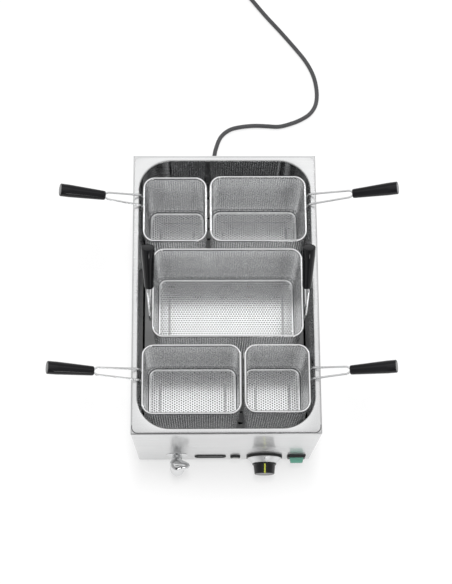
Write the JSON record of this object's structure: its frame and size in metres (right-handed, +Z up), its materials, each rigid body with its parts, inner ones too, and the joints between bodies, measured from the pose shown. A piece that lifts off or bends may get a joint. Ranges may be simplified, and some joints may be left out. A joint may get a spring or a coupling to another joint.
{
  "type": "countertop pasta cooker",
  "caption": "Countertop electric pasta cooker: a steel box with a pressed water tank, lift-out perforated baskets with wire handles, a slotted false bottom, a thermostat knob and a drain tap",
  "frame": {"origin": "On the table under the middle of the cooker's full width and length, without the cord", "axes": "+X right as seen by the cook, +Y from the front panel to the rear panel, +Z up"},
  "size_m": [0.6288, 1.1795, 0.4172],
  "materials": {
    "case_steel": "satin stainless sheet",
    "screw_steel": "plain steel",
    "foot_rubber": "matte black",
    "tank_steel": "satin stainless, pressed",
    "element_steel": "darkened stainless tube",
    "copper": "bare copper",
    "inner_metal": "zinc plated",
    "inner_plastic": "heat-proof moulding",
    "gasket_rubber": "matte black",
    "dial_silver": "fine turned",
    "knob_black": "glossy black",
    "index_yellow": "yellow-green",
    "switch_black": "fine matte black",
    "switch_green": "glossy green, translucent",
    "lens_grey": "glossy, unlit",
    "recess_grey": "matte grey",
    "tap_chrome": "bright chrome",
    "basket_steel": "perforated stainless sheet",
    "wire_steel": "polished wire",
    "grip_black": "glossy black",
    "cord_rubber": "matte black",
    "pin_brass": "nickel plated brass"
  },
  "bodies": {
    "base": {"case_shell": "case_steel", "rear_panel": "case_steel", "rear_screws": "screw_steel", "base_plate": "case_steel", "feet": "foot_rubber", "foot_screws": "screw_steel", "tank_deck": "tank_steel", "heating_element": "element_steel", "element_rests": "element_steel", "tank_glands": "element_steel", "thermostat_bulb": "copper", "thermostat_body": "inner_metal", "safety_cutout": "inner_plastic", "terminal_block": "inner_plastic", "knob_gasket": "gasket_rubber", "dial_cone": "dial_silver", "rocker_housing": "switch_black", "lamp_ring": "switch_black", "lamp_lens": "lens_grey", "recess_plate": "recess_grey", "drain_pipe": "tap_chrome", "tap_flange": "tap_chrome", "tap_body": "tap_chrome", "cable_gland": "cord_rubber", "power_cord": "cord_rubber", "cord_coil": "cord_rubber", "cord_tie": "cord_rubber", "plug_body": "cord_rubber", "plug_pins": "pin_brass"},
    "false_bottom": {"false_bottom": "tank_steel"},
    "rear_left_basket": {"rear_left_wall": "basket_steel", "rear_left_floor": "basket_steel", "rear_left_rim": "wire_steel", "rear_left_handle": "wire_steel", "rear_left_grip": "grip_black"},
    "rear_right_basket": {"rear_right_wall": "basket_steel", "rear_right_floor": "basket_steel", "rear_right_rim": "wire_steel", "rear_right_handle": "wire_steel", "rear_right_grip": "grip_black"},
    "front_left_basket": {"front_left_wall": "basket_steel", "front_left_floor": "basket_steel", "front_left_rim": "wire_steel", "front_left_handle": "wire_steel", "front_left_grip": "grip_black"},
    "front_right_basket": {"front_right_wall": "basket_steel", "front_right_floor": "basket_steel", "front_right_rim": "wire_steel", "front_right_handle": "wire_steel", "front_right_grip": "grip_black"},
    "middle_basket": {"middle_wall": "basket_steel", "middle_floor": "basket_steel", "middle_rim": "wire_steel", "middle_handles": "wire_steel", "middle_grips": "grip_black"},
    "knob": {"knob": "knob_black", "knob_index": "index_yellow", "thermostat_shaft": "inner_metal"},
    "rocker": {"rocker_cap": "switch_green"},
    "tap_lever": {"tap_lever": "tap_chrome"}
  },
  "joints": [
    {"name": "false_bottom_lift", "type": "slide", "parent": "base", "child": "false_bottom", "axis": [0, 0, 1], "range_m": [0, 0.2]},
    {"name": "rear_left_lift", "type": "slide", "parent": "false_bottom", "child": "rear_left_basket", "axis": [0, 0, 1], "range_m": [0, 0.2]},
    {"name": "rear_right_lift", "type": "slide", "parent": "false_bottom", "child": "rear_right_basket", "axis": [0, 0, 1], "range_m": [0, 0.2]},
    {"name": "middle_lift", "type": "slide", "parent": "false_bottom", "child": "middle_basket", "axis": [0, 0, 1], "range_m": [0, 0.2]},
    {"name": "front_left_lift", "type": "slide", "parent": "false_bottom", "child": "front_left_basket", "axis": [0, 0, 1], "range_m": [0, 0.2]},
    {"name": "front_right_lift", "type": "slide", "parent": "false_bottom", "child": "front_right_basket", "axis": [0, 0, 1], "range_m": [0, 0.2]},
    {"name": "knob_turn", "type": "hinge", "parent": "base", "child": "knob", "pos_m": [0.078, -0.24685, 0.059], "axis": [0, -1, 0], "range_deg": [-270, 0]},
    {"name": "rocker_rock", "type": "hinge", "parent": "base", "child": "rocker", "pos_m": [0.141, -0.24685, 0.059], "axis": [1, 0, 0], "range_deg": [-12, 0]},
    {"name": "tap_turn", "type": "hinge", "parent": "base", "child": "tap_lever", "pos_m": [-0.093, -0.26885, 0.095], "axis": [0, 0, 1], "range_deg": [-90, 0]}
  ]
}
